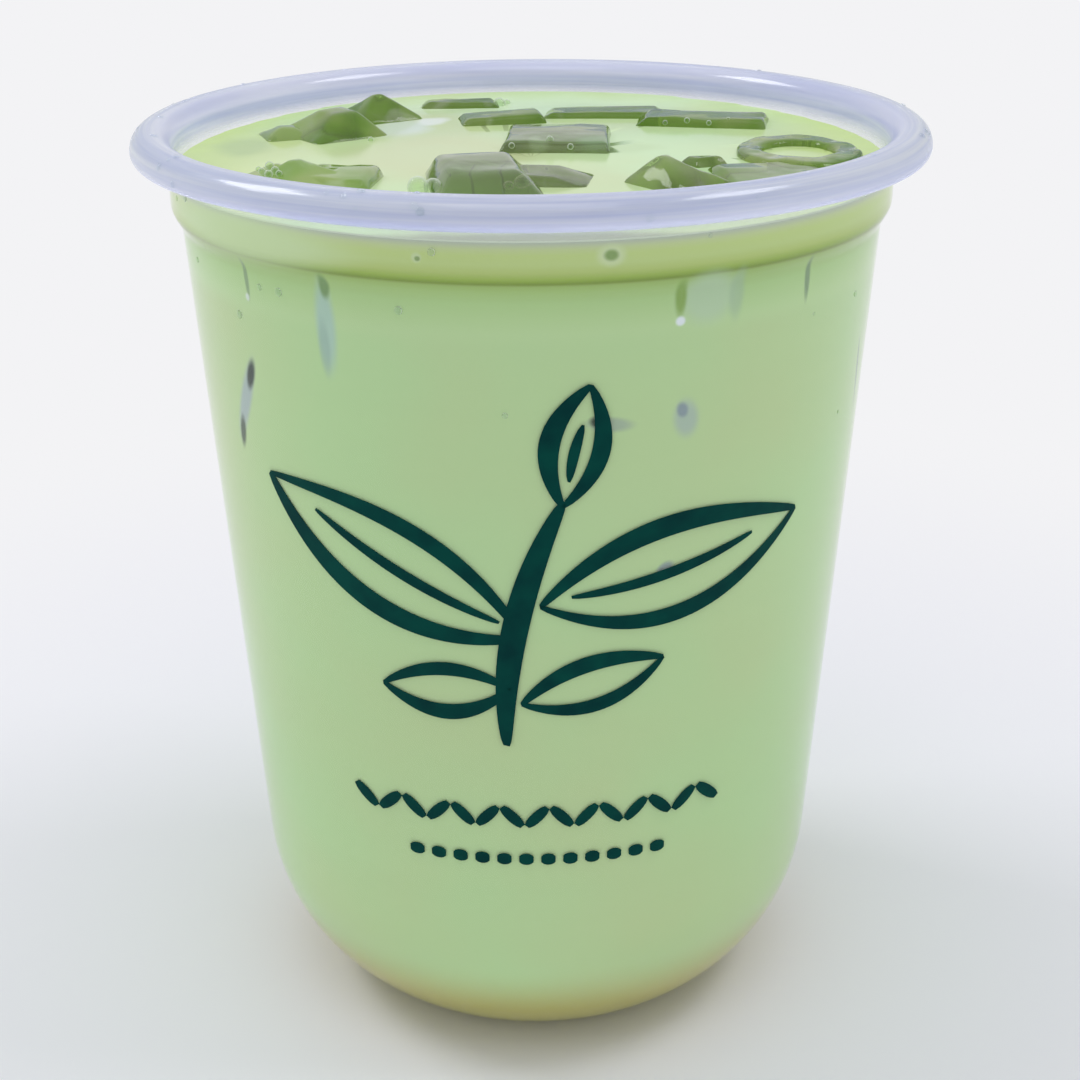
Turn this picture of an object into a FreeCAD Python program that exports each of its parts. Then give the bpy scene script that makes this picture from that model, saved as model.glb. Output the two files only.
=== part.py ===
import FreeCAD, Part
import math
import os

# A clear plastic cup with a rounded bottom, filled almost to the brim with an iced milk drink.
# Millimetres, +Z up, origin on the table under the middle of the cup.
# The cup is one sheet of even thickness, turned about Z. Its underside is drawn as a path from
# the axis out to the lip, and the drink side is the same path moved inwards by the thickness.

# overall
cup_height = 114.2  # table to the crest of the rim
rim_radius = 47.5  # outermost edge of the rolled rim
wall = 0.6  # thickness of the plastic

# rolled rim: the sheet goes up, over and back under itself
rim_width = 4.8  # from the mouth to the outermost edge
rim_depth = 3.45  # from the crest down to the underside of the curl
crown_share = 0.47  # radius of the rim's top corners, as a share of its width
lip_radius = 1.15  # radius of the curl's outer lower corner
lip_gap = 1.3  # room between the end of the curl and the collar

# collar, shoulder and side
collar_depth = 9.05  # from the crest down to the shoulder
shoulder_height = 2.0
shoulder_inset = 1.15  # how much the side is narrower than the collar
shoulder_radius = 2.5
side_lean = 3.69  # degrees by which the side narrows towards the bottom

# rounded bottom and foot
corner_radius = 25.8
foot_slope = 31.0  # steepness, in degrees, at which the rounded bottom meets the foot
foot_ledge = 0.7  # short straight part between the foot and the rounded bottom
foot_radius = 1.2  # rounding of the foot's two edges
ring_width = 2.4  # of the ring that the cup stands on
recess_height = 2.2  # of the middle of the bottom above the table
recess_slope = 50.0  # steepness, in degrees, of the step up into the recess
recess_radius = 1.5

# drink
headspace = 5.2  # from the crest down to the surface of the drink
drink_gap = 0.05  # clearance between the drink and the plastic


def polar(length, degrees):
    """(radius, height) of a step of this length at this steepness."""
    angle = math.radians(degrees)
    return length * math.cos(angle), length * math.sin(angle)


def side_radius(height):
    """Outer radius of the straight side at a height."""
    collar_radius = rim_radius - rim_width + wall
    top = cup_height - collar_depth - shoulder_height
    return collar_radius - shoulder_inset - (top - height) * math.tan(math.radians(side_lean))


def bottom_path():
    """Corners from the axis to the side, each with the radius that rounds it."""
    out, up = polar(foot_ledge, foot_slope)
    across, down = polar(corner_radius, foot_slope - 90)
    centre_z = up - down
    centre_r = side_radius(centre_z) - corner_radius / math.cos(math.radians(side_lean))
    foot_r = centre_r + across - out
    turn = 90 - side_lean - foot_slope
    reach = foot_ledge + corner_radius * math.tan(math.radians(turn / 2))
    corner_out, corner_up = polar(reach, foot_slope)
    ring_r = foot_r - ring_width
    recess_r = ring_r - recess_height / math.tan(math.radians(recess_slope))
    return [
        (0, recess_height, 0),
        (recess_r, recess_height, recess_radius),
        (ring_r, 0, foot_radius),
        (foot_r, 0, foot_radius),
        (foot_r + corner_out, corner_up, corner_radius),
    ]


def side_path():
    """Corners of the shoulder, where the side widens to the collar."""
    collar_radius = rim_radius - rim_width + wall
    top = cup_height - collar_depth
    return [
        (collar_radius - shoulder_inset, top - shoulder_height, shoulder_radius),
        (collar_radius, top, shoulder_radius),
    ]


def rim_path():
    """Corners of the curl, on the sheet's hidden side, which ends facing the collar."""
    collar_radius = rim_radius - rim_width + wall
    crown = crown_share * rim_width
    lip = min(lip_radius, rim_depth - crown)
    edge = rim_radius - wall
    under = cup_height - rim_depth + wall
    return [
        (collar_radius, cup_height - wall, crown - wall),
        (edge, cup_height - wall, crown - wall),
        (edge, under, lip - wall),
        (collar_radius + lip_gap, under, 0),
    ]


def direction(start, end):
    """Unit vector from one path point to the next."""
    length = math.dist(start[:2], end[:2])
    return (end[0] - start[0]) / length, (end[1] - start[1]) / length


def moved(path, distance):
    """The path moved to its left, so that each rounded corner keeps its centre."""
    steps = [direction(a, b) for a, b in zip(path, path[1:])]
    result = []
    for i, (r, z, radius) in enumerate(path):
        before = steps[max(i - 1, 0)]
        after = steps[min(i, len(steps) - 1)]
        share = distance / (1 + before[0] * after[0] + before[1] * after[1])
        left_turn = before[0] * after[1] - before[1] * after[0]
        new_radius = radius - math.copysign(distance, left_turn) if radius else 0
        r_moved = r - (before[1] + after[1]) * share
        z_moved = z + (before[0] + after[0]) * share
        result.append((r_moved, z_moved, new_radius))
    return result


def vertex(r, z):
    """Point of the half section, which lies in the XZ plane."""
    return FreeCAD.Vector(r, 0, z)


def rounded_edges(path):
    """Straight edges and tangent arcs along a path."""
    edges = []
    last = vertex(*path[0][:2])
    for before, corner, after in zip(path, path[1:], path[2:]):
        way_in = vertex(*direction(before, corner))
        way_out = vertex(*direction(corner, after))
        half_turn = way_in.getAngle(way_out) / 2
        point = vertex(*corner[:2])
        reach = corner[2] * math.tan(half_turn)
        inwards = (way_out - way_in).normalize()
        start = point - way_in * reach
        middle = point + inwards * corner[2] * (1 / math.cos(half_turn) - 1)
        end = point + way_out * reach
        edges.append(Part.LineSegment(last, start).toShape())
        edges.append(Part.Arc(start, middle, end).toShape())
        last = end
    edges.append(Part.LineSegment(last, vertex(*path[-1][:2])).toShape())
    return edges


def turned(edges):
    """Solid made by turning a closed half section about Z."""
    wire = Part.Wire(Part.__sortEdges__(edges))
    return Part.Face(wire).revolve(vertex(0, 0), vertex(0, 1), 360)


def line(start, end):
    """Straight edge between two path points."""
    return Part.LineSegment(vertex(*start[:2]), vertex(*end[:2])).toShape()


def make_cup():
    """The whole sheet, from the recessed bottom to the end of the curl."""
    underside = bottom_path() + side_path() + rim_path()
    drink_side = moved(underside, wall)
    edges = rounded_edges(underside) + rounded_edges(drink_side)
    edges.append(line(underside[0], drink_side[0]))
    edges.append(line(underside[-1], drink_side[-1]))
    return turned(edges)


def make_drink():
    """What fills the cup, up to its flat surface."""
    collar_radius = rim_radius - rim_width + wall
    level = cup_height - headspace
    skin = moved(bottom_path() + side_path() + [(collar_radius, level, 0)], wall + drink_gap)
    edges = rounded_edges(skin)
    edges.append(line(skin[-1], (0, level)))
    edges.append(line((0, level), skin[0]))
    return turned(edges)


os.makedirs("parts", exist_ok=True)
make_cup().exportStep("parts/cup.step")
make_drink().exportStep("parts/drink.step")
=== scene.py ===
import math
import random

import bmesh
import bpy
from mathutils import Matrix, Vector


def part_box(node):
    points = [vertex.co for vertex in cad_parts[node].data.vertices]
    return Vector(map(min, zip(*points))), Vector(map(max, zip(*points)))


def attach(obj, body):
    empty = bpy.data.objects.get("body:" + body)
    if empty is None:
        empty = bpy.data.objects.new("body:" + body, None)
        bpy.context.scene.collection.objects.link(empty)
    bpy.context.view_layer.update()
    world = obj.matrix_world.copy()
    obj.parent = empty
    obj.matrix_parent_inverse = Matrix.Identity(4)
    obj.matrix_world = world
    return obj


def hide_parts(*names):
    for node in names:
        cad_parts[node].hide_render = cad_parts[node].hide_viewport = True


# An iced green tea latte in a clear polypropylene cup with a rounded bottom and a rolled rim.
# Metres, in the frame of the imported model. mm() turns a length in millimetres to metres.

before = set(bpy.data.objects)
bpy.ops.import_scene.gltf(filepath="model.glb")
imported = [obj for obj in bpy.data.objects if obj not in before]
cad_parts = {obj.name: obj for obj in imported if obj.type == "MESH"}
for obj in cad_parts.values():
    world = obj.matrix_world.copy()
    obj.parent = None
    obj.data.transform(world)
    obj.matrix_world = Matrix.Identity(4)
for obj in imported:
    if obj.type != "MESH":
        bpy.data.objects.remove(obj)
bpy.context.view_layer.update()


def mm(*lengths):
    """Millimetres as metres: one number, or a tuple of them."""
    metres = tuple(length * 0.001 for length in lengths)
    return metres[0] if len(metres) == 1 else metres


# sizes from the frame
cup_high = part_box("cup")[1]
drink_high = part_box("drink")[1]
rim_top = cup_high[2]
level = drink_high[2]
mouth_radius = drink_high[0]

# sizes of what is added here
turn_steps = 192  # faces round the cup
wall_bite = mm(0.42)  # how far the drink reaches past its own solid, into the plastic
film_height = mm(0.09)  # of drink that clings to the wall above its level, on the -Y side
film_growth = 12.0  # how many times higher it clings on the +Y side
film_reach = mm(2.2)  # distance over which the surface falls back to its level
ice_depth = mm(8)  # least depth of ice below the drink's level
ice_deeper = 0.6  # how much deeper a chunk reaches for each millimetre it stands above the drink
most_worn = 0.6  # millimetres by which the edges of ice are rounded, at most
worn_share = 0.4  # the same, as a share of the height above the drink and of the top's size
melt_wave = mm(10)  # size of the waves in melting ice
melt_height = mm(1.2)  # from their lowest to their highest point
ice_skin = mm(0.05)  # how far the ice reaches into the drink round it
side_lean = 3.69  # degrees by which the side narrows towards the bottom
near = mm(0.01)  # within this, two heights or radii count as the same


# ---------------------------------------------------------------- modelling helpers


def only(piece):
    """Leaves one object selected and active, in object mode."""
    if bpy.context.object and bpy.context.object.mode != "OBJECT":
        bpy.ops.object.mode_set(mode="OBJECT")
    bpy.ops.object.select_all(action="DESELECT")
    piece.select_set(True)
    bpy.context.view_layer.objects.active = piece
    return piece


def added(name):
    """The object that a primitive operator has just made, under its own name."""
    piece = bpy.context.object
    piece.name = name
    piece.data.name = name
    return only(piece)


def pick(piece, kind, test):
    """In edit mode, selects the vertices, edges or faces whose middle passes the test."""
    bpy.ops.mesh.select_mode(type={"verts": "VERT", "edges": "EDGE", "faces": "FACE"}[kind])
    bpy.ops.mesh.select_all(action="DESELECT")
    mesh = bmesh.from_edit_mesh(piece.data)
    for item in getattr(mesh, kind):
        if kind == "verts":
            middle = item.co
        elif kind == "edges":
            middle = (item.verts[0].co + item.verts[1].co) / 2
        else:
            middle = item.calc_center_median()
        if test(middle):
            item.select = True
    mesh.select_flush_mode()
    bmesh.update_edit_mesh(piece.data)


def modify(piece, kind, **settings):
    """Adds a modifier and applies it at once."""
    only(piece)
    modifier = piece.modifiers.new(kind.lower(), kind)
    for key, value in settings.items():
        setattr(modifier, key, value)
    bpy.ops.object.modifier_apply(modifier=modifier.name)
    return piece


def place(piece):
    """Puts the piece's place, turn and size into its mesh."""
    only(piece)
    bpy.ops.object.transform_apply(location=True, rotation=True, scale=True)
    return piece


def smooth(piece, degrees):
    """Smooth shading up to an angle between faces."""
    only(piece)
    bpy.ops.object.shade_smooth_by_angle(angle=math.radians(degrees))
    return piece


def join(name, pieces):
    """One object out of several."""
    only(pieces[0])
    for piece in pieces:
        piece.select_set(True)
    bpy.ops.object.join()
    return added(name)


def half_section(node, name):
    """The outline of a turned CAD solid on its +X side, as a chain of edges.

    The flat middle of a bottom has no point on the axis, so the chain starts where it ends.
    """
    bpy.ops.object.select_all(action="DESELECT")
    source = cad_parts[node]
    piece = bpy.data.objects.new(name, source.data.copy())
    bpy.context.collection.objects.link(piece)
    piece.data.materials.clear()
    only(piece)
    bpy.ops.object.mode_set(mode="EDIT")
    bpy.ops.mesh.select_all(action="SELECT")
    bpy.ops.mesh.remove_doubles(threshold=mm(0.001))
    bpy.ops.mesh.select_all(action="SELECT")
    bpy.ops.mesh.bisect(
        plane_co=(0, 0, 0),
        plane_no=(0, 1, 0),
        clear_inner=True,
        clear_outer=True,
        threshold=mm(0.002),
    )
    pick(piece, "verts", lambda co: co.x < -near)
    bpy.ops.mesh.delete(type="VERT")
    return piece


def turn(piece):
    """Turns the chain of edges about Z into a skin that faces outwards.

    The flat middle of the bottom stays open.
    """
    bpy.ops.mesh.select_all(action="SELECT")
    bpy.ops.mesh.spin(
        steps=turn_steps, angle=2 * math.pi, center=(0, 0, 0), axis=(0, 0, 1), use_auto_merge=True
    )
    bpy.ops.mesh.select_all(action="SELECT")
    bpy.ops.mesh.remove_doubles(threshold=mm(0.002))
    bpy.ops.mesh.select_all(action="SELECT")
    bpy.ops.mesh.normals_make_consistent(inside=False)
    bpy.ops.object.mode_set(mode="OBJECT")
    return piece


# ---------------------------------------------------------------- material helpers


def linear(code):
    """Linear colour from an sRGB hex code."""
    parts = [int(code[i : i + 2], 16) / 255 for i in (1, 3, 5)]
    colour = [c / 12.92 if c <= 0.04045 else ((c + 0.055) / 1.055) ** 2.4 for c in parts]
    return (*colour, 1.0)


def add(tree, kind, sockets=None, stops=(), **settings):
    """Adds a node. sockets gives each input a value or the output that feeds it, and stops gives a
    colour ramp its positions and colours."""
    node = tree.nodes.new(kind)
    for key, value in settings.items():
        setattr(node, key, value)
    for socket, value in (sockets or {}).items():
        if isinstance(value, bpy.types.NodeSocket):
            tree.links.new(value, node.inputs[socket])
        else:
            node.inputs[socket].default_value = value
    for i, (position, code) in enumerate(stops):
        elements = node.color_ramp.elements
        element = elements[i] if i < len(elements) else elements.new(1.0)
        element.position = position
        element.color = linear(code)
    return node


def new_material(name):
    """An empty node material and its tree."""
    material = bpy.data.materials.new(name)
    material.use_nodes = True
    material.node_tree.nodes.clear()
    return material, material.node_tree


def light_passes(tree, surface, tint):
    """A clear surface that lamps and scattered light cross unbent, taking this tint."""
    path = add(tree, "ShaderNodeLightPath")
    ray = add(
        tree,
        "ShaderNodeMath",
        {0: path.outputs["Is Shadow Ray"], 1: path.outputs["Is Diffuse Ray"]},
        operation="MAXIMUM",
    )
    clear = add(tree, "ShaderNodeBsdfTransparent", {"Color": linear(tint)})
    mixed = add(
        tree, "ShaderNodeMixShader", {0: ray.outputs[0], 1: surface.outputs[0], 2: clear.outputs[0]}
    )
    add(tree, "ShaderNodeOutputMaterial", {"Surface": mixed.outputs[0]})


def background_rays(tree):
    """1 for rays from the camera, in a reflection or through something clear."""
    path = add(tree, "ShaderNodeLightPath")
    seen = path.outputs["Is Camera Ray"]
    for ray in ("Is Glossy Ray", "Is Transmission Ray"):
        either = add(tree, "ShaderNodeMath", {0: seen, 1: path.outputs[ray]}, operation="MAXIMUM")
        seen = either.outputs[0]
    return seen


# ---------------------------------------------------------------- materials


def polypropylene():
    """Clarified polypropylene, thermoformed: glossy and clear, and milky in the rolled rim.

    The sheet is drawn out in the mould, which leaves faint lines that run round the rim.
    """
    material, tree = new_material("clear_polypropylene")
    place_on = add(tree, "ShaderNodeTexCoord")
    split = add(tree, "ShaderNodeSeparateXYZ", {0: place_on.outputs["Object"]})
    milky = add(
        tree,
        "ShaderNodeMapRange",
        {
            "Value": split.outputs["Z"],
            "From Min": rim_top - mm(5.0),
            "From Max": rim_top - mm(2.2),
            "To Min": 0.03,
            "To Max": 0.82,
        },
        interpolation_type="SMOOTHSTEP",
    )
    flat = add(tree, "ShaderNodeCombineXYZ", {0: split.outputs["X"], 1: split.outputs["Y"]})
    radius = add(tree, "ShaderNodeVectorMath", {0: flat.outputs[0]}, operation="LENGTH")
    across = add(
        tree,
        "ShaderNodeMath",
        {0: split.outputs["Z"], 1: radius.outputs["Value"]},
        operation="SUBTRACT",
    )
    drawn = add(
        tree,
        "ShaderNodeCombineXYZ",
        {0: split.outputs["X"], 1: split.outputs["Y"], 2: across.outputs[0]},
    )
    round_lines = add(
        tree,
        "ShaderNodeMapping",
        {"Vector": drawn.outputs[0], "Scale": (1 / mm(45), 1 / mm(45), 1 / mm(0.9))},
    )
    lines = add(
        tree, "ShaderNodeTexNoise", {"Vector": round_lines.outputs[0], "Scale": 1.0, "Detail": 4.5}
    )
    bump = add(
        tree, "ShaderNodeBump", {"Height": lines.outputs[0], "Strength": 0.3, "Distance": mm(0.25)}
    )
    tint = add(
        tree, "ShaderNodeValToRGB", {0: lines.outputs[0]}, [(0.3, "#c4c9f2"), (0.7, "#ebebff")]
    ).outputs[0]
    clear = add(
        tree,
        "ShaderNodeBsdfPrincipled",
        {
            "Base Color": linear("#fbfcfe"),
            "Roughness": 0.06,
            "IOR": 1.49,
            "Transmission Weight": 1.0,
        },
    )
    haze = add(
        tree,
        "ShaderNodeBsdfPrincipled",
        {
            "Base Color": tint,
            "Roughness": 0.13,
            "IOR": 1.49,
            "Specular IOR Level": 1.0,
            "Normal": bump.outputs[0],
        },
    )
    glow = add(tree, "ShaderNodeBsdfTranslucent", {"Color": tint})
    cloudy = add(
        tree, "ShaderNodeMixShader", {0: 0.42, 1: haze.outputs[0], 2: glow.outputs[0]}
    )
    surface = add(
        tree,
        "ShaderNodeMixShader",
        {0: milky.outputs[0], 1: clear.outputs[0], 2: cloudy.outputs[0]},
    )
    light_passes(tree, surface, "#fafcfd")
    return material


def tea_colour(tree, place_on, green, yellow):
    """Pale green, with faint yellower clouds where tea and milk haven't quite mixed."""
    clouds = add(
        tree,
        "ShaderNodeTexNoise",
        {
            "Vector": place_on.outputs["Object"],
            "Scale": 1 / mm(26),
            "Detail": 2.0,
            "Roughness": 0.45,
        },
    )
    colour = add(
        tree, "ShaderNodeValToRGB", {0: clouds.outputs[0]}, [(0.35, green), (0.7, yellow)]
    )
    return colour.outputs[0]


def spotted(tree, base, vector, spots):
    """Lays soft oval spots over a colour.

    Each spot has its middle (x, y), half its size (x, y), a turn, a colour and a strength.
    """
    for middle, half, turned, code, strength in spots:
        oval = add(
            tree,
            "ShaderNodeMapping",
            {
                "Vector": vector,
                "Location": mm(*middle, 0),
                "Rotation": (0, 0, math.radians(turned)),
                "Scale": (*mm(*half), 1),
            },
            vector_type="TEXTURE",
        )
        fade = add(tree, "ShaderNodeTexGradient", {0: oval.outputs[0]}, gradient_type="SPHERICAL")
        share = add(
            tree,
            "ShaderNodeMapRange",
            {"Value": fade.outputs["Fac"], "From Max": 0.6, "To Max": strength},
            interpolation_type="SMOOTHSTEP",
        )
        mixed = add(
            tree,
            "ShaderNodeMix",
            {0: share.outputs[0], 6: base, 7: linear(code)},
            data_type="RGBA",
        )
        base = mixed.outputs[2]
    return base


# Where ice leans on the wall inside the drink, two bubbles, and one wide paler stretch of the
# collar, which is painted light: middle (arc from -Y, height), half size, turn, colour and
# strength. Millimetres and degrees.
wall_marks_and_painted_light = [
    ((-34.6, 101.8), (0.5, 3.2), 3, "#84a077", 0.75),
    ((-34.8, 99.6), (0.5, 0.6), 0, "#eef8ee", 0.7),
    ((-22.9, 98.4), (1.7, 6.6), 1, "#b7d8c4", 0.85),
    ((-23.3, 96.0), (1.0, 4.2), 1, "#9fbfaa", 0.5),
    ((-22.6, 102.9), (0.9, 1.9), 1, "#7ba05a", 0.9),
    ((-38.0, 87.0), (1.5, 7.2), -26, "#b3c4bf", 0.9),
    ((-36.2, 90.3), (1.0, 2.7), -22, "#36483a", 1.0),
    ((-39.8, 82.6), (0.9, 2.7), -12, "#4c5f46", 0.95),
    ((18.8, 101.9), (4.6, 3.9), 0, "#c6e0ba", 0.7),
    ((22.2, 101.9), (1.3, 3.9), 0, "#adcba4", 0.55),
    ((15.5, 102.3), (0.9, 2.9), 0, "#93b854", 0.95),
    ((15.6, 99.6), (0.75, 0.7), 0, "#f6fffb", 1.0),
    ((32.6, 101.7), (0.6, 3.4), 3, "#7d9974", 0.8),
    ((50.2, 86.5), (0.5, 5.8), 10, "#84a08a", 0.8),
    ((8.2, 88.8), (3.4, 1.1), -6, "#a9bda4", 0.8),
    ((6.9, 89.2), (1.3, 0.9), -10, "#46583c", 1.0),
    ((16.9, 88.6), (2.0, 2.9), 10, "#b4c9b8", 0.8),
    ((16.4, 89.6), (0.9, 1.2), 20, "#8a9ba4", 0.8),
    ((15.3, 70.9), (1.5, 1.0), 25, "#93a5a4", 0.85),
    ((7.7, 107.5), (1.9, 1.5), 0, "#dcecb4", 0.9),
    ((7.7, 107.5), (1.0, 0.8), 0, "#8fae62", 1.0),
    # painted light: a wide paler stretch on the left of the collar
    ((-34.0, 106.8), (20.0, 3.3), 0, "#daf0b4", 0.8),
    ((-11.4, 107.2), (0.7, 0.7), 0, "#d6e8b0", 0.8),
    ((-11.3, 107.1), (0.4, 0.35), 0, "#8aa860", 0.9),
]

# Ice just under the surface, seen through a thin layer of drink: middle (x, y), half size, turn,
# colour and strength. Millimetres and degrees. The last two aren't ice: a paler patch by the back
# wall, which is painted light, and a grey-green edge by the front wall, which is painted shade.
sunken_ice_and_painted_light = [
    ((-34.0, 10.5), (5.0, 8.0), 0, "#b9d08f", 0.7),
    ((-15.5, 22.5), (5.5, 9.0), -8, "#dcebdc", 0.9),
    ((-11.5, 27.5), (3.0, 3.6), -20, "#f0f8f0", 0.8),
    ((10.0, 36.5), (9.0, 3.6), 0, "#b4cf9a", 0.6),
    ((11.5, 8.0), (8.5, 6.0), 6, "#bcd8a0", 0.6),
    ((-9.0, 4.0), (16.0, 20.0), 0, "#cdd09e", 0.6),
    ((8.0, -12.0), (10.0, 12.0), 0, "#cbd6a0", 0.5),
    # painted light: a paler patch by the back wall
    ((3.0, 37.5), (34.0, 8.0), 0, "#dbf4d0", 0.65),
    # painted shade: a grey-green edge by the front wall, under the rim
    ((1.0, -40.4), (29.0, 5.4), 0, "#8f9b80", 0.9),
]

# Bands of colour up the wall, as shares of the way from 10 mm below the drink's level to 1 mm
# above it. Painted shade makes the drink darkest and greenest where the sheet bends through the
# shoulder, and grey just under its level, below the rim.
wall_tone_and_shade = [
    (0.0, "#cbeaa5"),
    (0.3, "#bfe294"),
    (0.42, "#b3d47e"),
    (0.49, "#a8c668"),
    (0.515, "#869f36"),
    (0.535, "#93b13e"),
    (0.565, "#a9c654"),
    (0.62, "#c2d778"),
    (0.7, "#cde28c"),
    (0.79, "#cfe48c"),
    (0.845, "#d2e29e"),
    (0.88, "#ccd8ae"),
    (0.91, "#c3cdb6"),
]


def milk_tea_wall():
    """Green tea with milk where it wets the plastic: opaque and soft, with no gloss of its own."""
    material, tree = new_material("milk_tea_against_plastic")
    place_on = add(tree, "ShaderNodeTexCoord")
    split = add(tree, "ShaderNodeSeparateXYZ", {0: place_on.outputs["Object"]})
    height = add(
        tree,
        "ShaderNodeMapRange",
        {"Value": split.outputs["Z"], "From Min": level - mm(10), "From Max": level + mm(1)},
    )
    # painted shade: a dark olive line at the shoulder and grey just under the drink's level
    bands = add(tree, "ShaderNodeValToRGB", {0: height.outputs[0]}, wall_tone_and_shade)
    upper = add(
        tree,
        "ShaderNodeMapRange",
        {"Value": split.outputs["Z"], "From Min": level - mm(12), "From Max": level - mm(9)},
        interpolation_type="SMOOTHSTEP",
    )
    colour = add(
        tree,
        "ShaderNodeMix",
        {
            0: upper.outputs[0],
            6: tea_colour(tree, place_on, "#c6e9a3", "#cbe3a0"),
            7: bands.outputs[0],
        },
        data_type="RGBA",
    )
    # olive-tan towards the bottom
    towards_bottom = add(
        tree,
        "ShaderNodeMapRange",
        {"Value": split.outputs["Z"], "From Min": mm(17), "From Max": mm(7)},
        interpolation_type="SMOOTHSTEP",
    )
    bottom = add(
        tree,
        "ShaderNodeMix",
        {0: towards_bottom.outputs[0], 6: colour.outputs[2], 7: linear("#c1ba62")},
        data_type="RGBA",
    )
    back = add(tree, "ShaderNodeMath", {0: split.outputs["Y"], 1: -1.0}, operation="MULTIPLY")
    azimuth = add(
        tree, "ShaderNodeMath", {0: split.outputs["X"], 1: back.outputs[0]}, operation="ARCTAN2"
    )
    arc = add(tree, "ShaderNodeMath", {0: azimuth.outputs[0], 1: mm(41.5)}, operation="MULTIPLY")
    wall = add(tree, "ShaderNodeCombineXYZ", {0: arc.outputs[0], 1: split.outputs["Z"]})
    marked = spotted(tree, bottom.outputs[2], wall.outputs[0], wall_marks_and_painted_light)
    shader = add(
        tree,
        "ShaderNodeBsdfPrincipled",
        {"Base Color": marked, "Roughness": 0.9, "IOR": 1.34, "Specular IOR Level": 0.0},
    )
    add(tree, "ShaderNodeOutputMaterial", {"Surface": shader.outputs[0]})
    return material


def milk_tea_surface():
    """The drink's open surface: wet and still, with ice showing where it lies just under it.

    By the back wall a paler patch is painted light, and by the front wall a grey-green edge is
    painted shade.
    """
    material, tree = new_material("milk_tea_surface")
    place_on = add(tree, "ShaderNodeTexCoord")
    split = add(tree, "ShaderNodeSeparateXYZ", {0: place_on.outputs["Object"]})
    flat = add(tree, "ShaderNodeCombineXYZ", {0: split.outputs["X"], 1: split.outputs["Y"]})
    side = add(tree, "ShaderNodeMath", {0: split.outputs["X"]}, operation="ABSOLUTE")
    shore = add(
        tree,
        "ShaderNodeMapRange",
        {"Value": side.outputs[0], "From Min": mm(24), "From Max": mm(42)},
        interpolation_type="SMOOTHSTEP",
    )
    colour = add(
        tree,
        "ShaderNodeMix",
        {
            0: shore.outputs[0],
            6: tea_colour(tree, place_on, "#c9e8b3", "#cfdfa4"),
            7: linear("#d0e694"),
        },
        data_type="RGBA",
    )
    drift = add(
        tree,
        "ShaderNodeTexNoise",
        {"Vector": place_on.outputs["Object"], "Scale": 1 / mm(9), "Detail": 2.0},
    )
    bent = add(
        tree,
        "ShaderNodeVectorMath",
        {0: drift.outputs["Color"], 1: mm(4, 4, 0), 2: flat.outputs[0]},
        operation="MULTIPLY_ADD",
    )
    # the spots hold painted light by the back wall and painted shade by the front wall
    patched = spotted(tree, colour.outputs[2], bent.outputs[0], sunken_ice_and_painted_light)
    shader = add(
        tree,
        "ShaderNodeBsdfPrincipled",
        {"Base Color": patched, "Roughness": 0.14, "IOR": 1.34, "Specular IOR Level": 0.22},
    )
    add(tree, "ShaderNodeOutputMaterial", {"Surface": shader.outputs[0]})
    return material


# Where the ice is greyer, and where a film of drink makes it pale: middle (x, y), half size, turn,
# colour and strength. Millimetres and degrees.
ice_tints = [
    ((-2.0, -6.0), (23.0, 32.0), 0, "#95987f", 0.9),
    ((-31.5, 15.5), (6.0, 6.0), 0, "#bdd096", 0.8),
    ((13.0, -15.5), (4.5, 7.0), 0, "#bccf92", 0.75),
    ((8.3, 4.6), (3.8, 3.2), 0, "#b9ccb4", 0.8),
]


def clear_ice():
    """Machine-made ice, wet and full of tea: half clear, smooth and slightly rippled."""
    material, tree = new_material("clear_ice")
    place_on = add(tree, "ShaderNodeTexCoord")
    ripple = add(
        tree,
        "ShaderNodeTexNoise",
        {"Vector": place_on.outputs["Object"], "Scale": 1 / mm(5), "Detail": 1.0},
    )
    bump = add(
        tree, "ShaderNodeBump", {"Height": ripple.outputs[0], "Strength": 0.3, "Distance": mm(0.8)}
    )
    tea = add(
        tree,
        "ShaderNodeTexNoise",
        {"Vector": place_on.outputs["Object"], "Scale": 1 / mm(8), "Detail": 1.5},
    )
    green = add(
        tree,
        "ShaderNodeValToRGB",
        {0: tea.outputs[0]},
        [(0.36, "#76993c"), (0.5, "#8aa754"), (0.64, "#a8b47a")],
    )
    split = add(tree, "ShaderNodeSeparateXYZ", {0: place_on.outputs["Object"]})
    flat = add(tree, "ShaderNodeCombineXYZ", {0: split.outputs["X"], 1: split.outputs["Y"]})
    tinted = spotted(tree, green.outputs[0], flat.outputs[0], ice_tints)
    wisps = add(
        tree,
        "ShaderNodeTexNoise",
        {
            "Vector": place_on.outputs["Object"],
            "Scale": 1 / mm(6.5),
            "Detail": 2.5,
            "Distortion": 0.6,
        },
    )
    milk_on = add(
        tree,
        "ShaderNodeMapRange",
        {"Value": wisps.outputs[0], "From Min": 0.56, "From Max": 0.7, "To Max": 0.75},
        interpolation_type="SMOOTHSTEP",
    )
    tinted = add(
        tree,
        "ShaderNodeMix",
        {0: milk_on.outputs[0], 6: tinted, 7: linear("#c6cdb8")},
        data_type="RGBA",
    ).outputs[2]
    ice = add(
        tree,
        "ShaderNodeBsdfPrincipled",
        {
            "Base Color": tinted,
            "Roughness": 0.06,
            "IOR": 1.31,
            "Transmission Weight": 0.68,
            "Normal": bump.outputs[0],
        },
    )
    light_passes(tree, ice, "#dae2c8")
    return material


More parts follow.
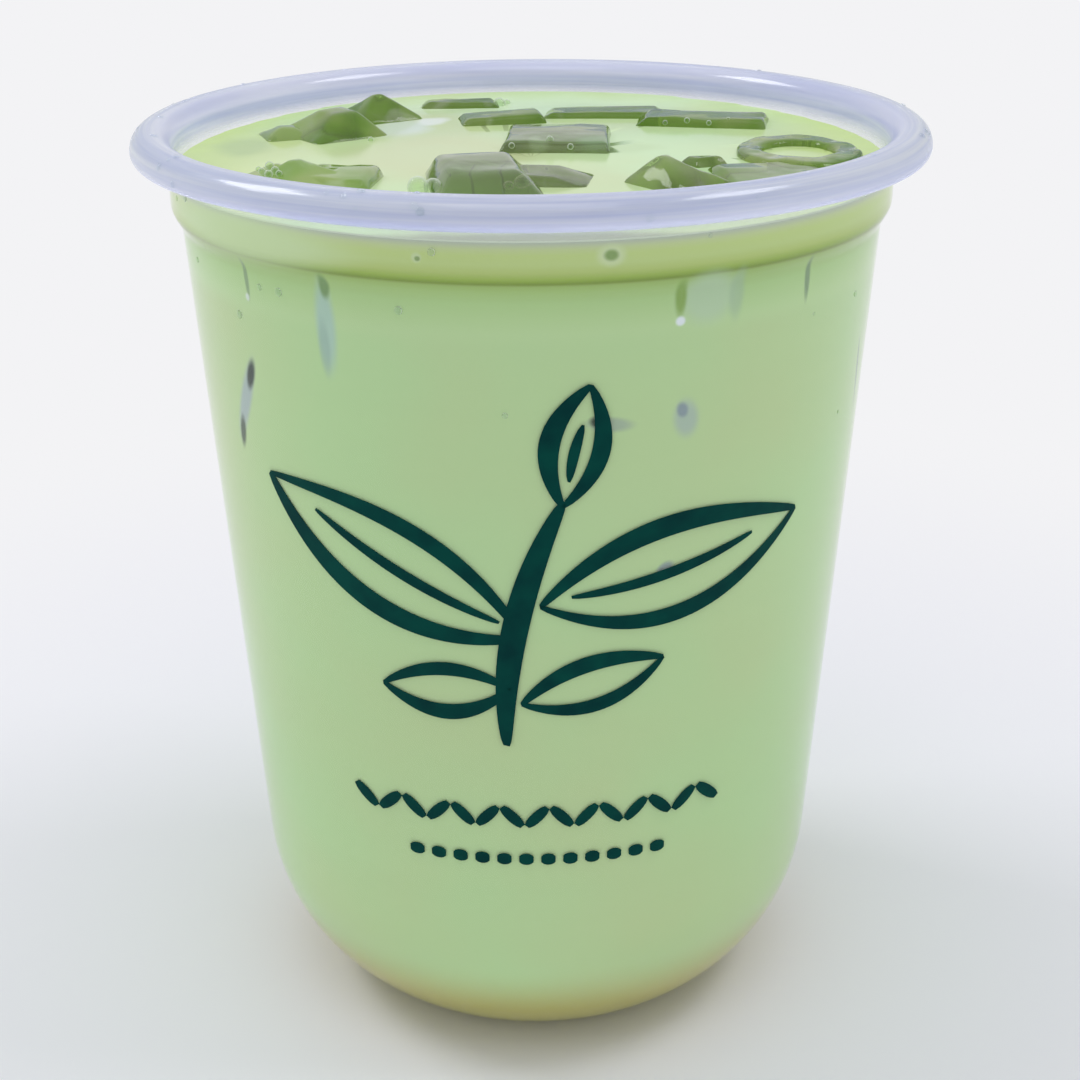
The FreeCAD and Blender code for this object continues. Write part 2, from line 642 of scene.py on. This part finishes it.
def print_ink():
    """Screen-printed ink: one dark blue-green coat, a little uneven where the screen's mesh was."""
    material, tree = new_material("screen_print_ink")
    place_on = add(tree, "ShaderNodeTexCoord")
    coat = add(
        tree,
        "ShaderNodeTexNoise",
        {"Vector": place_on.outputs["Object"], "Scale": 1 / mm(4), "Detail": 2.0},
    )
    colour = add(
        tree, "ShaderNodeValToRGB", {0: coat.outputs[0]}, [(0.3, "#003735"), (0.7, "#01483f")]
    )
    ink = add(
        tree,
        "ShaderNodeBsdfPrincipled",
        {
            "Base Color": colour.outputs[0],
            "Roughness": 0.55,
            "IOR": 1.5,
            "Specular IOR Level": 0.05,
        },
    )
    add(tree, "ShaderNodeOutputMaterial", {"Surface": ink.outputs[0]})
    return material


def white_floor():
    """A matt white studio sweep, which the camera sees as plain white away from the cup."""
    material, tree = new_material("studio_floor")
    place_on = add(tree, "ShaderNodeTexCoord")
    away = add(tree, "ShaderNodeVectorMath", {0: place_on.outputs["Object"]}, operation="LENGTH")
    far = add(
        tree,
        "ShaderNodeMapRange",
        {"Value": away.outputs["Value"], "From Min": mm(48), "From Max": mm(230)},
        interpolation_type="SMOOTHSTEP",
    )
    share = add(
        tree,
        "ShaderNodeMath",
        {0: background_rays(tree), 1: far.outputs[0]},
        operation="MULTIPLY",
    )
    floor = add(tree, "ShaderNodeBsdfDiffuse", {"Color": linear("#f2f2f9")})
    white = add(tree, "ShaderNodeEmission", {"Color": linear("#f3f3f5"), "Strength": 1.0})
    mixed = add(
        tree, "ShaderNodeMixShader", {0: share.outputs[0], 1: floor.outputs[0], 2: white.outputs[0]}
    )
    add(tree, "ShaderNodeOutputMaterial", {"Surface": mixed.outputs[0]})
    return material


# ---------------------------------------------------------------- the cup


def make_cup():
    """The turned sheet of plastic, from the CAD outline."""
    piece = turn(half_section("cup", "clear_cup"))
    smooth(piece, 50)
    piece.data.materials.append(polypropylene())
    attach(piece, "root")
    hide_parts("cup")
    return piece


# ---------------------------------------------------------------- the ice

# Each chunk of ice: middle (x, y) and size (x, y) at the drink's level, turn, how far its top
# stands above the drink, the top's share of that size, and how far the top leans. Millimetres and
# degrees.
chunks = [
    ((-25.8, 17), (11, 11.5), 38, 3.1, 0.34, (0.8, 0)),
    ((-31.5, 15.5), (6.5, 6.5), 20, 1.4, 0.3, (0, 0)),
    ((-21, 28.5), (9.5, 9), 32, 3.2, 0.12, (0.3, 0)),
    ((-25.6, -15), (11, 11), 40, 2.7, 0.12, (-0.4, 1.5)),
    ((-21.8, -14), (8, 10), -8, 1.3, 0.85, (0, 0)),
    ((-29.5, -12), (7, 7), 25, 1.9, 0.14, (0, 0)),
    ((-9.8, 37), (11, 4), 6, 0.8, 0.8, (0, 0)),
    ((-3.8, 25.5), (11.5, 6.5), 10, 0.9, 0.85, (0, 0)),
    ((3.2, 9.5), (13.5, 13.5), -4, 1.2, 0.93, (0, 0.5)),
    ((-5.4, -15.5), (12.5, 18), 8, 2.4, 0.62, (-0.6, 0.8)),
    ((0, -12.8), (14, 8), -8, 1.2, 0.7, (-2, 0)),
    ((10, 29.5), (16, 6.5), -2, 0.7, 0.85, (0, 0)),
    ((22.6, 22.8), (17.5, 7.5), -11, 1.05, 0.88, (0.6, 0)),
    ((28.5, -13.5), (13.5, 14), 12, 0.6, 0.85, (0, 0)),
    ((17, -15.2), (9.5, 9.5), 38, 2.9, 0.12, (-1.5, 1)),
    ((20.3, -4.4), (4.4, 4.4), 24, 0.8, 0.7, (0, 0)),
]


def make_chunk(middle, size, turned, above, top, lean):
    """One block of ice with worn edges, tapering above the drink."""
    depth = ice_depth + mm(ice_deeper * above)
    worn = min(most_worn, worn_share * above, worn_share * top * min(size))
    bpy.ops.mesh.primitive_cube_add(size=1)
    piece = added("ice")
    piece.scale = (*mm(*size), depth)
    piece.location = (0, 0, -depth / 2)
    place(piece)
    bpy.ops.object.mode_set(mode="EDIT")
    pick(piece, "faces", lambda co: co.z > -near)
    bpy.ops.mesh.extrude_region_move(TRANSFORM_OT_translate={"value": (*mm(*lean), mm(above))})
    bpy.ops.transform.resize(value=(top, top, 1), center_override=(*mm(*lean), mm(above)))
    bpy.ops.object.mode_set(mode="OBJECT")
    modify(piece, "BEVEL", width=mm(worn), segments=3)
    piece.rotation_euler = (0, 0, math.radians(turned))
    piece.location = (*mm(*middle), level)
    return melt(place(piece))


def melt(piece):
    """Makes a block's faces uneven, as melting does."""
    modify(piece, "SUBSURF", subdivision_type="SIMPLE", levels=2, render_levels=2)
    uneven = bpy.data.textures.new("uneven", "CLOUDS")
    uneven.cloud_type = "COLOR"
    uneven.noise_scale = melt_wave
    modify(
        piece,
        "DISPLACE",
        texture=uneven,
        direction="RGB_TO_XYZ",
        strength=melt_height,
        mid_level=0.5,
    )
    return modify(piece, "TRIANGULATE")


def make_ring():
    """A short tube of ice, standing upright, with drink in its middle."""
    middle, radius, ice_wall, above, stretch = (32.4, 0.8), 7.6, 3.1, mm(0.8), 1.22
    bpy.ops.mesh.primitive_cylinder_add(
        vertices=48, radius=mm(radius), depth=ice_depth + above, end_fill_type="NOTHING"
    )
    piece = added("ice")
    modify(piece, "SOLIDIFY", thickness=mm(ice_wall), offset=-1)
    modify(piece, "BEVEL", width=mm(most_worn), segments=3, limit_method="ANGLE")
    piece.scale = (1, stretch, 1)
    piece.location = (*mm(*middle), level + (above - ice_depth) / 2)
    return melt(place(piece))


def make_ice():
    """All the ice, with one skin where chunks have frozen together."""
    piece, *others = [make_chunk(*chunk) for chunk in chunks] + [make_ring()]
    for other in others:
        modify(piece, "BOOLEAN", object=other, operation="UNION", solver="EXACT")
        bpy.data.objects.remove(other)
    return smooth(added("ice_chunks"), 35)


def finish_ice(ice):
    """Grows the ice until it meets the drink round it, and gives it its material."""
    only(ice)
    bpy.ops.object.mode_set(mode="EDIT")
    bpy.ops.mesh.select_all(action="SELECT")
    bpy.ops.transform.shrink_fatten(value=ice_skin)
    bpy.ops.object.mode_set(mode="OBJECT")
    ice.data.materials.append(clear_ice())
    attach(ice, "root")


# ---------------------------------------------------------------- the drink


def make_drink(ice):
    """Fills the cup into the plastic, with its surface climbing the wall and the ice cut out."""
    film_steps, flat_steps, raises = 10, 6, 16
    piece = half_section("drink", "milk_tea")
    edge = mouth_radius - near
    pick(piece, "verts", lambda co: co.z > level - near and co.x < edge)
    bpy.ops.mesh.delete(type="VERT")
    pick(piece, "verts", lambda co: co.z > level - near)
    bpy.ops.mesh.extrude_vertices_move(TRANSFORM_OT_translate={"value": (0, 0, film_height)})
    last = (mouth_radius, film_height)
    for i in range(1, film_steps + 1):
        reach = film_reach * 3 * (i / film_steps) ** 2
        height = film_height * math.exp(-reach / film_reach) * (i < film_steps)
        move = (mouth_radius - reach - last[0], 0, height - last[1])
        bpy.ops.mesh.extrude_vertices_move(TRANSFORM_OT_translate={"value": move})
        last = (mouth_radius - reach, height)
    for i in range(flat_steps):
        move = (-last[0] / flat_steps, 0, 0)
        bpy.ops.mesh.extrude_vertices_move(TRANSFORM_OT_translate={"value": move})
    turn(piece)
    bpy.ops.object.mode_set(mode="EDIT")
    for i in range(raises):
        edge = mouth_radius * (2 * i / raises - 1)
        pick(piece, "verts", lambda co: co.z > level + mm(0.001) and co.y > edge)
        bpy.ops.transform.resize(
            value=(1, 1, film_growth ** (1 / raises)), center_override=(0, 0, level)
        )
    pick(piece, "faces", lambda co: not on_top(co))
    bpy.ops.transform.shrink_fatten(value=wall_bite)
    bpy.ops.object.mode_set(mode="OBJECT")
    modify(piece, "TRIANGULATE")
    modify(piece, "BOOLEAN", object=ice, operation="DIFFERENCE", solver="EXACT")
    piece.data.materials.clear()
    piece.data.materials.append(milk_tea_wall())
    piece.data.materials.append(milk_tea_surface())
    for face in piece.data.polygons:
        face.material_index = 1 if on_top(face.center) else 0
    smooth(piece, 18)
    modify(piece, "WEIGHTED_NORMAL", keep_sharp=True, weight=100)
    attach(piece, "root")
    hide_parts("drink")


def on_top(co):
    """Whether a point lies on the drink's open surface."""
    return co.z > level - mm(0.05) and math.hypot(co.x, co.y) < mouth_radius + mm(0.02)


# ---------------------------------------------------------------- bubbles and droplets

# Bubbles that stand in the drink or cling to ice: middle (x, y), height of the middle above the
# drink's level, radius. Millimetres.
bubbles = [
    ((-12.6, -20.4), 0.9, 1.2),
    ((-10.9, -20.8), 0.9, 1.05),
    ((-4.4, 37.5), 0.2, 0.9),
    ((-3.4, 38.5), 0.1, 0.6),
    ((-5.0, 39.6), 0.1, 0.4),
    ((-1.2, -18.4), 0.1, 0.9),
    ((-2.6, -19.4), 0.1, 0.6),
    ((2.3, 4.6), 1.3, 0.5),
    ((-2.4, 3.2), 0.9, 0.4),
    ((4.8, 2.8), 0.8, 0.4),
    ((20.4, 19.6), 0.9, 0.4),
    ((23.2, 18.8), 0.7, 0.35),
    ((17.6, 20.3), 0.5, 0.35),
    ((25.8, 19.6), 1.0, 0.3),
    ((-29.6, -15.2), 2.3, 0.55),
    ((-28.9, -15.9), 1.9, 0.5),
    ((-30.4, -15.8), 1.8, 0.45),
    ((-29.6, -16.4), 1.6, 0.5),
    ((-28.4, -16.6), 1.7, 0.4),
    ((-30.9, -15.0), 1.9, 0.35),
    ((-19.2, -20.8), 0.2, 0.6),
    ((-20.4, 12.0), 0.1, 0.4),
]


def bubble_film():
    """The skin of a bubble: clear seen square on, bright towards its edge."""
    material, tree = new_material("bubble_film")
    facing = add(tree, "ShaderNodeLayerWeight", {"Blend": 0.35})
    shine = add(
        tree,
        "ShaderNodeBsdfPrincipled",
        {"Base Color": linear("#f2f8f0"), "Roughness": 0.08, "IOR": 1.33},
    )
    clear = add(tree, "ShaderNodeBsdfTransparent", {"Color": linear("#eef6e6")})
    mixed = add(
        tree,
        "ShaderNodeMixShader",
        {0: facing.outputs["Facing"], 1: clear.outputs[0], 2: shine.outputs[0]},
    )
    add(tree, "ShaderNodeOutputMaterial", {"Surface": mixed.outputs[0]})
    return material


def clear_water():
    """Clean water, as small drops: clear, with a sharp glint."""
    material, tree = new_material("clear_water")
    water = add(
        tree,
        "ShaderNodeBsdfPrincipled",
        {
            "Base Color": linear("#f8fbfa"),
            "Roughness": 0.02,
            "IOR": 1.33,
            "Transmission Weight": 1.0,
        },
    )
    light_passes(tree, water, "#f3f6f7")
    return material


def make_ball(name, radius, squash=1.0, fineness=3):
    """A small ball, round or pressed flat along its own Z."""
    bpy.ops.mesh.primitive_ico_sphere_add(subdivisions=fineness, radius=radius)
    piece = added(name)
    bpy.ops.object.mode_set(mode="EDIT")
    bpy.ops.mesh.select_all(action="SELECT")
    bpy.ops.transform.resize(value=(1, 1, squash), center_override=(0, 0, 0))
    bpy.ops.object.mode_set(mode="OBJECT")
    return piece


def make_bubbles():
    """Every bubble, joined."""
    balls = []
    for (x, y), above, radius in bubbles:
        ball = make_ball("bubble", mm(radius))
        ball.location = (*mm(x, y), level + mm(above))
        balls.append(place(ball))
    piece = smooth(join("foam_bubbles", balls), 60)
    piece.data.materials.append(bubble_film())
    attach(piece, "root")


def make_droplets():
    """Small drops that hang on the rolled rim and on the outside of the collar and side."""
    chance = random.Random(11)
    count, on_rim = 64, 38
    depths = [5.5, 6.3, 7.6, 13, 17, 24, 31]  # millimetres below the crest of the rim
    crown = mm(2.25)  # radius of the rim's top
    collar, shoulder = mouth_radius + mm(0.65), rim_top - mm(11)
    drops = []
    for i in range(count):
        around = chance.uniform(-math.pi, math.pi)
        if i < on_rim:
            up = chance.uniform(-0.1, 1.9)
            reach = cup_high[0] - crown + crown * math.cos(up)
            height = rim_top - crown + crown * math.sin(up)
        else:
            up = 0.0
            height = rim_top - mm(chance.choice(depths))
            reach = collar
            if height < shoulder:
                narrower = (shoulder - height) * math.tan(math.radians(side_lean))
                reach = collar - mm(1.15) - narrower
        ball = make_ball("drop", mm(chance.uniform(0.22, 0.5)), 0.45, 2)
        ball.rotation_euler = (0, math.pi / 2 - up, around)
        ball.location = (reach * math.cos(around), reach * math.sin(around), height)
        drops.append(place(ball))
    piece = smooth(join("water_droplets", drops), 60)
    piece.data.materials.append(clear_water())
    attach(piece, "root")


# ---------------------------------------------------------------- the print


def make_stroke(start, end, bend, width, tip=0.25):
    """A flat brush stroke in the XZ plane: straight or bent, and narrower at its ends."""
    length = math.dist(start, end)
    columns = max(6, round(length * 1.5))
    bpy.ops.mesh.primitive_grid_add(x_subdivisions=columns, y_subdivisions=2, size=1)
    piece = added("stroke")
    piece.scale = (mm(length), mm(width), 1)
    piece.location = (mm(length) / 2, 0, 0)
    place(piece)
    bpy.ops.object.mode_set(mode="EDIT")
    for i in range(columns + 1):
        along = i / columns
        x = mm(length) * along
        swell = math.sin(math.pi * along) ** 0.6
        pick(piece, "verts", lambda co: abs(co.x - x) < mm(0.05) and abs(co.y) < mm(width))
        bpy.ops.transform.resize(value=(1, tip + (1 - tip) * swell, 1), center_override=(x, 0, 0))
        rise = mm(4 * bend * along * (1 - along))
        bpy.ops.transform.translate(value=(0, rise, 0))
    bpy.ops.object.mode_set(mode="OBJECT")
    slope = math.atan2(end[1] - start[1], end[0] - start[0])
    piece.rotation_euler = (math.radians(90), -slope, 0)
    piece.location = mm(start[0], -60, start[1])
    return place(piece)


# The printed sprig, as strokes: start (x, z), end (x, z), bend to the left, width. Millimetres.
sprig = [
    ((-3.4, 49.5), (3, 80), 2.0, 3.0),
    ((-1.2, 63.5), (-30, 79), 5.6, 2.5),
    ((-1.2, 63.5), (-30, 79), -5.0, 2.0),
    ((-4, 65.5), (-24.5, 76.3), 0.6, 1.3),
    ((0.5, 67.5), (30, 74), 5.4, 2.5),
    ((0.5, 67.5), (30, 74), -5.6, 2.0),
    ((4, 68.6), (24.5, 73), -0.6, 1.3),
    ((3, 79.5), (6, 93.5), 2.9, 2.3),
    ((3, 79.5), (6, 93.5), -2.7, 2.0),
    ((3.7, 82.5), (5.2, 89), 0.2, 1.2),
    ((-2.8, 57), (-17.5, 56), 3.0, 2.0),
    ((-2.8, 57), (-17.5, 56), -2.6, 1.7),
    ((-1.7, 55), (14.5, 59.8), 2.6, 2.0),
    ((-1.7, 55), (14.5, 59.8), -2.8, 1.7),
]


def make_print(cup):
    """A tea sprig over a row of slanted grains and a row of dots, wrapped on the cup's front."""
    strokes = [make_stroke(*stroke) for stroke in sprig]
    grains, dots = 15, 12
    for i in range(grains):
        x, z, tilt = (i - 7) * 2.9, 39.7, 1.3 if i % 2 else -1.3
        strokes.append(make_stroke((x - 1.2, z - tilt), (x + 1.2, z + tilt), 0, 1.4, 0.5))
    for i in range(dots):
        x, z = (i - 5.5) * 2.6, 33.7
        strokes.append(make_stroke((x - 0.85, z), (x + 0.85, z), 0, 1.6, 0.5))
    piece = join("printed_sprig", strokes)
    modify(
        piece,
        "SHRINKWRAP",
        target=cup,
        wrap_method="PROJECT",
        use_project_x=False,
        use_project_y=True,
        use_project_z=False,
        use_positive_direction=True,
        use_negative_direction=False,
        offset=mm(0.02),
    )
    modify(piece, "SOLIDIFY", thickness=mm(0.05), offset=1)
    smooth(piece, 40)
    piece.data.materials.append(print_ink())
    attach(piece, "root")


# ---------------------------------------------------------------- scene


def make_floor():
    """The floor that the cup stands on."""
    bpy.ops.mesh.primitive_plane_add(size=12)
    floor = added("floor")
    floor.data.materials.append(white_floor())


def lamp(name, position, aim, size, watts):
    """A soft rectangular lamp that points at a place."""
    data = bpy.data.lights.new(name, "AREA")
    data.shape = "RECTANGLE"
    data.size, data.size_y = size
    data.energy = watts
    light = bpy.data.objects.new(name, data)
    light.location = position
    light.rotation_euler = (Vector(aim) - Vector(position)).to_track_quat("-Z", "Y").to_euler()
    bpy.context.collection.objects.link(light)


def make_camera():
    """Just above the rim and close, looking down into the cup."""
    data = bpy.data.cameras.new("camera")
    data.sensor_width = 36.0
    data.lens = 61.4
    camera = bpy.data.objects.new("camera", data)
    camera.location = mm(0, -223.7, 152.8)
    below_level = 22.8  # degrees by which it looks down
    yaw = Matrix.Rotation(math.radians(-0.18), 4, "Z")
    pitch = Matrix.Rotation(math.radians(90 - below_level), 4, "X")
    roll = Matrix.Rotation(math.radians(-0.425), 4, "Z")
    camera.rotation_euler = (yaw @ pitch @ roll).to_euler()
    bpy.context.collection.objects.link(camera)
    bpy.context.scene.camera = camera


def make_world():
    """Even pale light from all round, plain white to the camera and in reflections."""
    world = bpy.data.worlds.new("studio")
    world.use_nodes = True
    tree = world.node_tree
    tree.nodes.clear()
    light = add(tree, "ShaderNodeBackground", {"Color": linear("#f7f8fc"), "Strength": 0.6})
    white = add(tree, "ShaderNodeBackground", {"Color": linear("#f3f3f5"), "Strength": 1.0})
    mixed = add(
        tree,
        "ShaderNodeMixShader",
        {0: background_rays(tree), 1: light.outputs[0], 2: white.outputs[0]},
    )
    add(tree, "ShaderNodeOutputWorld", {"Surface": mixed.outputs[0]})
    bpy.context.scene.world = world
    bpy.context.scene.view_settings.view_transform = "Standard"


cup = make_cup()
make_print(cup)
ice = make_ice()
make_drink(ice)
finish_ice(ice)
make_bubbles()
make_droplets()
make_floor()
lamp_aim = (0, 0, mm(90))  # a little under the rim
lamp("left_softbox", (-0.6, 0.19, 0.74), lamp_aim, (0.36, 0.26), 2.1)
lamp("right_softbox", (0.52, 0.02, 0.87), lamp_aim, (0.36, 0.26), 1.6)
lamp("top_softbox", (0, -0.3, 0.9), lamp_aim, (0.5, 0.4), 0.7)
make_world()
make_camera()
